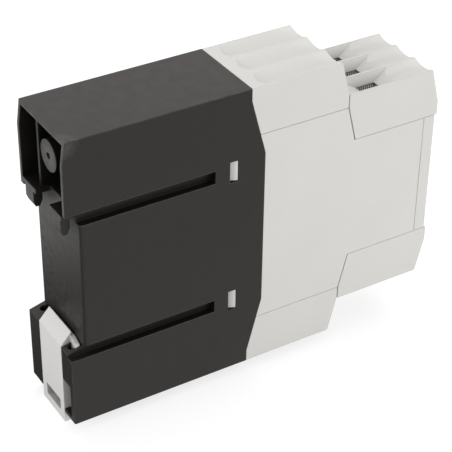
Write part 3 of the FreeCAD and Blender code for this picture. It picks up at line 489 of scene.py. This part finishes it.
def plated_metal(name, colour, roughness, metallic=1.0, ridge_pitch=None):
    """Plated metal with drawn streaks, cloudy plating and, if asked for, gripping ridges with painted
    shade in their valleys.
    """
    shader = Shader(name)
    shader.set(Metallic=metallic)
    clouds = shader.patches(PLATING_SIZE, detail=3.0)
    tone = shader.mix(clouds, scaled(colour, DULL_PLATING), colour)
    streaks = shader.noise(STREAK_SIZE, 3.0, STREAK_ROUGHNESS, stretch=STREAK_STRETCH)
    shine = (roughness - BRIGHT_STREAK, roughness + DULL_STREAK)
    shader.connect(shader.remap(streaks, CLOUDY, shine), "Roughness")
    if ridge_pitch is None:
        shader.bump(streaks, STREAK_BUMP, STREAK_DEPTH)
    else:
        ridges = shader.ridges("Y", ridge_pitch)
        # painted shade: the valleys between the ridges are darkened
        tone = shader.mix(shader.remap(ridges, VALLEY_SLOPE), scaled(colour, VALLEY_PAINTED_SHADE), tone)
        shader.bump(ridges, RIDGE_BUMP, RIDGE_DEPTH)
    shader.connect(tone, "Base Color")
    return shader.material


def circuit_board(name):
    """Green solder mask, darker over the copper tracks, which stand a little proud."""
    shader = Shader(name)
    tracks = shader.remap(shader.cells(TRACK_SIZE), TRACK_EDGE)
    shader.connect(shader.mix(tracks, BOARD_GREEN, TRACK_GREEN), "Base Color")
    shader.connect(shader.patches(BOARD_SHINE_SIZE, to=BOARD_ROUGHNESS), "Roughness")
    shader.bump(tracks, TRACK_BUMP, TRACK_DEPTH)
    return shader.material


def glossy_case(name, colour, roughness):
    """Smooth moulded or dipped case with faint waves in its gloss."""
    shader = Shader(name)
    clouds = shader.patches(CASE_CLOUD_SIZE)
    shader.connect(shader.mix(clouds, scaled(colour, CASE_CLOUD_TONE), colour), "Base Color")
    shine = (roughness, roughness + CASE_SHINE_SPREAD)
    shader.connect(shader.patches(CASE_SHINE_SIZE, to=shine), "Roughness")
    shader.bump(shader.noise(CASE_WAVE_SIZE), CASE_WAVE_BUMP, CASE_WAVE_DEPTH)
    return shader.material


def clear_pipe(name):
    """Clear polished light pipe with a slightly milky core."""
    shader = Shader(name)
    shader.set(IOR=1.49, Transmission_Weight=0.65)
    shader.connect(shader.mix(shader.patches(PIPE_MILK_SIZE), *PIPE_MILK), "Base Color")
    shader.connect(shader.patches(PIPE_SHINE_SIZE, to=PIPE_ROUGHNESS), "Roughness")
    return shader.material


def printed_ink(name, colour):
    """Dull ink that is paler where it lies thin."""
    shader = Shader(name)
    thin = shader.patches(THIN_INK_SIZE, between=BLOTCHY)
    shader.connect(shader.mix(thin, colour, scaled(colour, THIN_INK_TONE)), "Base Color")
    shader.set(Roughness=0.6)
    return shader.material


def small_moulding(name, colour, lighter, roughness, grain, rounding):
    """Moulded plastic of the small pieces on the boards and the panel."""
    return moulded(
        name, colour, lighter, roughness, grain,
        dust=0.05, rounding=rounding, shade=0.5, recess=(0.15, 0.80), reach=3 * MM,
    )


MATERIALS = {
    "black_plastic": moulded(
        "black_plastic",
        colour=(0.0125, 0.0115, 0.0090),
        lighter=(0.110, 0.107, 0.103),
        roughness=0.42,
        grain=0.10,
        dust=0.08,
        rounding=0.45 * MM,
        shade=0.45,
        recess=(0.36, 1.0),
        reach=12 * MM,
        edge_wear_and_highlight=(0.25, 0.90),
        scuffs_and_highlight=rubs_and_painted_highlight,
    ),
    "grey_plastic": moulded(
        "grey_plastic",
        colour=(0.605, 0.597, 0.572),
        lighter=(0.690, 0.685, 0.660),
        roughness=0.50,
        grain=0.08,
        dust=0.05,
        rounding=0.25 * MM,
        shade=0.6,
        recess=(0.0, 0.80),
        reach=5 * MM,
        flow=0.975,
    ),
    "latch_plastic": moulded(
        "latch_plastic",
        colour=(0.640, 0.635, 0.625),
        lighter=(0.720, 0.715, 0.705),
        roughness=0.42,
        grain=0.05,
        dust=0.04,
        rounding=0.25 * MM,
        shade=0.4,
        recess=(0.25, 1.0),
        reach=5 * MM,
        flow=0.975,
    ),
    "plated_steel": plated_metal(
        "plated_steel", (0.96, 0.95, 0.92), roughness=0.45, metallic=0.0, ridge_pitch=RIDGE_PITCH
    ),
    "screw_steel": plated_metal("screw_steel", (0.66, 0.65, 0.62), roughness=0.30),
    "tinned_copper": plated_metal("tinned_copper", (0.72, 0.69, 0.63), roughness=0.30),
    "spring_steel": plated_metal("spring_steel", (0.46, 0.46, 0.47), roughness=0.32),
    "circuit_board": circuit_board("circuit_board"),
    "relay_case": glossy_case("relay_case", (0.030, 0.034, 0.040), roughness=0.24),
    "capacitor_sleeve": glossy_case("capacitor_sleeve", (0.020, 0.024, 0.060), roughness=0.26),
    "film_case": glossy_case("film_case", (0.42, 0.30, 0.05), roughness=0.28),
    "varistor_coat": glossy_case("varistor_coat", (0.030, 0.070, 0.260), roughness=0.30),
    "chip_case": small_moulding(
        "chip_case",
        colour=(0.020, 0.020, 0.020),
        lighter=(0.05, 0.05, 0.05),
        roughness=0.50,
        grain=0.10,
        rounding=0.1 * MM,
    ),
    "dial_case": small_moulding(
        "dial_case",
        colour=(0.060, 0.075, 0.110),
        lighter=(0.10, 0.12, 0.16),
        roughness=0.45,
        grain=0.08,
        rounding=0.1 * MM,
    ),
    "knob_plastic": small_moulding(
        "knob_plastic",
        colour=(0.110, 0.116, 0.122),
        lighter=(0.22, 0.23, 0.24),
        roughness=0.40,
        grain=0.08,
        rounding=0.2 * MM,
    ),
    "light_pipe": clear_pipe("light_pipe"),
    "lamp_case": glossy_case("lamp_case", (0.62, 0.62, 0.56), roughness=0.22),
}


def round_edges(node, width):
    """Softens the sharp edges of a node by modifiers, which leave the vertices of its mesh alone."""
    for polygon in node.data.polygons:
        polygon.use_smooth = True
    weld = node.modifiers.new("weld", "WELD")
    weld.merge_threshold = WELD_DISTANCE
    flat = node.modifiers.new("flat", "DECIMATE")
    flat.decimate_type = "DISSOLVE"
    flat.angle_limit = FLAT_ANGLE
    bevel = node.modifiers.new("edges", "BEVEL")
    bevel.limit_method = "ANGLE"
    bevel.angle_limit = SHARP_ANGLE
    bevel.width = width
    bevel.segments = EDGE_SEGMENTS
    bevel.use_clamp_overlap = True
    normals = node.modifiers.new("normals", "WEIGHTED_NORMAL")
    normals.keep_sharp = False
    normals.weight = FLAT_WEIGHT


def dress_nodes():
    """Gives every node the material of its slot and, where the slot has one, its edge rounding."""
    for name, node in NODES.items():
        slot = SLOT_OF[name]
        node.data.materials.clear()
        node.data.materials.append(MATERIALS[slot])
        if slot in EDGE_ROUND:
            round_edges(node, EDGE_ROUND[slot])


def add_part(parts, vertices, faces):
    """Adds one closed form to the vertices and faces collected so far."""
    start = len(parts[0])
    parts[0].extend(vertices)
    parts[1].extend(tuple(start + corner for corner in face) for face in faces)


def add_prism(parts, outline, offset):
    """A flat outline drawn out along the offset."""
    count = len(outline)
    faces = [tuple(range(count)), tuple(range(2 * count - 1, count - 1, -1))]
    for corner in range(count):
        following = (corner + 1) % count
        faces.append((corner, corner + count, following + count, following))
    add_part(parts, outline + [corner + offset for corner in outline], faces)


def add_mark(parts, centre, angle):
    """One short line of ink that points away from the middle of a knob."""
    outward = Vector((math.sin(angle), 0.0, math.cos(angle)))
    across = Vector((outward.z, 0.0, -outward.x)) * (MARK_WIDTH / 2)
    inner = centre + outward * MARK_START
    outer = inner + outward * MARK_LENGTH
    outline = [inner - across, inner + across, outer + across, outer - across]
    add_prism(parts, outline, Vector((0.0, -INK_THICKNESS, 0.0)))


def add_numeral(parts, centre, angle, words):
    """A printed number, upright, beside its mark."""
    data = bpy.data.curves.new("numeral", "FONT")
    data.body = words
    data.size = NUMERAL_HEIGHT * LETTER_SCALE
    data.align_x = "CENTER"
    data.align_y = "CENTER"
    data.extrude = INK_THICKNESS / 2
    lettering = bpy.data.objects.new("numeral", data)
    mesh = bpy.data.meshes.new_from_object(lettering)
    place = centre + Vector((math.sin(angle), 0.0, math.cos(angle))) * NUMERAL_RADIUS
    turn = Matrix.Rotation(math.radians(90), 3, "X")
    middle = place - Vector((0.0, INK_THICKNESS / 2, 0.0))
    vertices = [middle + turn @ vertex.co for vertex in mesh.vertices]
    add_part(parts, vertices, [tuple(polygon.vertices) for polygon in mesh.polygons])
    bpy.data.objects.remove(lettering)
    bpy.data.curves.remove(data)
    bpy.data.meshes.remove(mesh)


def place_piece(name, parts, material):
    """Makes the collected forms one object, with normals outwards, on the housing."""
    mesh = bpy.data.meshes.new(name)
    mesh.from_pydata(parts[0], [], parts[1])
    form = bmesh.new()
    form.from_mesh(mesh)
    bmesh.ops.recalc_face_normals(form, faces=form.faces)
    form.to_mesh(mesh)
    form.free()
    mesh.materials.append(material)
    piece = bpy.data.objects.new(name, mesh)
    bpy.context.scene.collection.objects.link(piece)
    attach(piece, "housing")


def print_scales():
    """Marks and numbers around the two knobs, printed on the front panel."""
    parts = ([], [])
    panel_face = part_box("front_panel")[0].y
    for knob, angles in DIAL_MARKS.items():
        low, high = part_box(knob)
        centre = Vector(((low.x + high.x) / 2, panel_face, (low.z + high.z) / 2))
        for angle in angles:
            add_mark(parts, centre, math.radians(angle))
        for angle, words in DIAL_NUMERALS[knob].items():
            add_numeral(parts, centre, math.radians(angle), words)
    place_piece("dial_scales", parts, printed_ink("scale_ink", SCALE_INK))


def joint_ribs():
    """A rib in each slanted joint, so that no light passes across the housing through its gap."""
    for name, side in (("upper", 1), ("lower", -1)):
        low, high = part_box(name + "_terminal_block")
        rear = high.y + JOINT_GAP + RIB_OVERLAP
        front = high.y - RIB_OVERLAP
        inner = low.z if side > 0 else -high.z
        bend = inner + RIB_HEIGHT
        profile = [
            (rear, bend + RIB_TOP),
            (front, bend + RIB_TOP),
            (front, bend),
            (front - JOINT_RUN, inner + RIB_OVERLAP),
            (rear - JOINT_RUN, inner + RIB_OVERLAP),
            (rear, bend),
        ]
        start = RIB_PLACE - RIB_WIDTH / 2
        outline = [Vector((start, y, z * side)) for y, z in profile]
        parts = ([], [])
        add_prism(parts, outline, Vector((RIB_WIDTH, 0.0, 0.0)))
        place_piece(name + "_joint_rib", parts, MATERIALS["grey_plastic"])


def painted_floor_reflection(shader):
    """Painted reflection: what glossy surfaces see of the floor, dim close to the object as if in its
    shadow, bright beyond.
    """
    x, y = shader.axes()[:2]
    reach = shader.math("ADD", shader.product(x, FAR_REAR[0]), shader.product(y, FAR_REAR[1]))
    low = PAINTED_FLOOR_REFLECTION[0][0]
    high = PAINTED_FLOOR_REFLECTION[-1][0]
    ramp = shader.nodes.new("ShaderNodeValToRGB")
    shader.links.new(shader.remap(reach, (low, high)), ramp.inputs["Fac"])
    # a new ramp has stops at both ends already
    stops = ramp.color_ramp.elements
    for distance, _ in PAINTED_FLOOR_REFLECTION[1:-1]:
        stops.new((distance - low) / (high - low))
    for stop, (_, level) in zip(stops, PAINTED_FLOOR_REFLECTION):
        stop.color = (level, level, level, 1.0)
    return ramp.outputs["Color"]


def floor_material():
    """A pale floor that looks white, keeps the object's shadow and lights it from below; to glossy
    surfaces it glows with a painted reflection.
    """
    shader = Shader("studio_floor")
    shader.set(Roughness=0.9)
    path = shader.nodes.new("ShaderNodeLightPath")
    eye = path.outputs["Is Camera Ray"]
    mirror = shader.math("MAXIMUM", path.outputs["Is Glossy Ray"], path.outputs["Is Transmission Ray"])
    tone = shader.mix(shader.patches(FLOOR_CLOUD_SIZE), *FLOOR_TONES)
    tone = shader.mix(eye, tone, FLOOR_SEEN)
    shader.connect(shader.mix(mirror, tone, BLACK), "Base Color")
    # the floor's glow: even white to the eye, a painted reflection to glossy surfaces
    glow_and_painted_reflection = shader.mix(mirror, FLOOR_GLOW, painted_floor_reflection(shader))
    shader.connect(glow_and_painted_reflection, "Emission Color")
    shader.connect(shader.math("MAXIMUM", eye, mirror), "Emission Strength")
    return shader.material


def make_stage():
    """A wide floor at the level of the object's lowest point."""
    floor_level = cad_box[0].z
    mesh = bpy.data.meshes.new("studio_floor")
    reach = FLOOR_SIZE / 2
    corners = [(-reach, -reach), (reach, -reach), (reach, reach), (-reach, reach)]
    mesh.from_pydata([(x, y, floor_level) for x, y in corners], [], [(0, 1, 2, 3)])
    floor = bpy.data.objects.new("studio_floor", mesh)
    bpy.context.scene.collection.objects.link(floor)
    mesh.materials.append(floor_material())


def make_world():
    """An even white studio, tinted in glossy surfaces and brighter to the eye than as a light."""
    world = bpy.data.worlds.new("studio")
    bpy.context.scene.world = world
    world.use_nodes = True
    nodes = world.node_tree.nodes
    links = world.node_tree.links
    background = nodes["Background"]
    path = nodes.new("ShaderNodeLightPath")
    tint = nodes.new("ShaderNodeMix")
    tint.data_type = "RGBA"
    plain, tinted = [socket for socket in tint.inputs if socket.type == "RGBA"]
    plain.default_value = (1.0, 1.0, 1.0, 1.0)
    tinted.default_value = (*SKY_REFLECTION, 1.0)
    links.new(path.outputs["Is Glossy Ray"], tint.inputs["Factor"])
    links.new([socket for socket in tint.outputs if socket.type == "RGBA"][0], background.inputs["Color"])
    eye = nodes.new("ShaderNodeMath")
    eye.operation = "MAXIMUM"
    links.new(path.outputs["Is Camera Ray"], eye.inputs[0])
    links.new(path.outputs["Is Glossy Ray"], eye.inputs[1])
    seen = nodes.new("ShaderNodeMath")
    seen.operation = "MAXIMUM"
    links.new(eye.outputs["Value"], seen.inputs[0])
    links.new(path.outputs["Is Transmission Ray"], seen.inputs[1])
    strength = nodes.new("ShaderNodeMapRange")
    strength.inputs["To Min"].default_value = SKY_LIGHT
    strength.inputs["To Max"].default_value = SKY_SEEN
    links.new(seen.outputs["Value"], strength.inputs["Value"])
    links.new(strength.outputs["Result"], background.inputs["Strength"])


def area_light(name, place, target, size, power):
    """A round soft lamp aimed at the target, which glossy surfaces don't mirror."""
    data = bpy.data.lights.new(name, "AREA")
    data.shape = "DISK"
    data.size = size
    data.energy = power
    light = bpy.data.objects.new(name, data)
    bpy.context.scene.collection.objects.link(light)
    light.visible_glossy = False
    light.location = place
    light.rotation_mode = "QUATERNION"
    light.rotation_quaternion = (target - place).to_track_quat("-Z", "Y")


def make_lights():
    """Soft lamps round the object, each aimed at its middle."""
    middle = (cad_box[0] + cad_box[1]) / 2
    for name, (offset, size, power) in LAMPS.items():
        area_light(name, middle + Vector(offset), middle, size, power)


def make_camera():
    """The camera of the photograph, with its shift and its slight roll."""
    azimuth = math.radians(CAMERA_AZIMUTH)
    elevation = math.radians(CAMERA_ELEVATION)
    roll = math.radians(CAMERA_ROLL)
    back = Vector((
        math.sin(azimuth) * math.cos(elevation),
        -math.cos(azimuth) * math.cos(elevation),
        math.sin(elevation),
    ))
    level = Vector((0, 0, 1)).cross(back).normalized()
    upright = back.cross(level)
    right = level * math.cos(roll) + upright * math.sin(roll)
    up = upright * math.cos(roll) - level * math.sin(roll)
    data = bpy.data.cameras.new("camera")
    data.sensor_width = SENSOR_WIDTH
    data.lens = SENSOR_WIDTH * FOCAL_PIXELS / PHOTO_PIXELS
    data.clip_start = CLIP_START
    data.clip_end = CLIP_END
    camera = bpy.data.objects.new("camera", data)
    bpy.context.scene.collection.objects.link(camera)
    turn = Matrix((right, up, back)).transposed().to_4x4()
    shift = right * CAMERA_RIGHT_OFFSET + up * CAMERA_UP_OFFSET
    place = CAMERA_TARGET + back * CAMERA_DISTANCE - shift
    camera.matrix_world = Matrix.Translation(place) @ turn
    bpy.context.scene.camera = camera


dress_nodes()
print_scales()
joint_ribs()
make_stage()
make_world()
make_lights()
make_camera()
bpy.context.scene.view_settings.view_transform = "Standard"
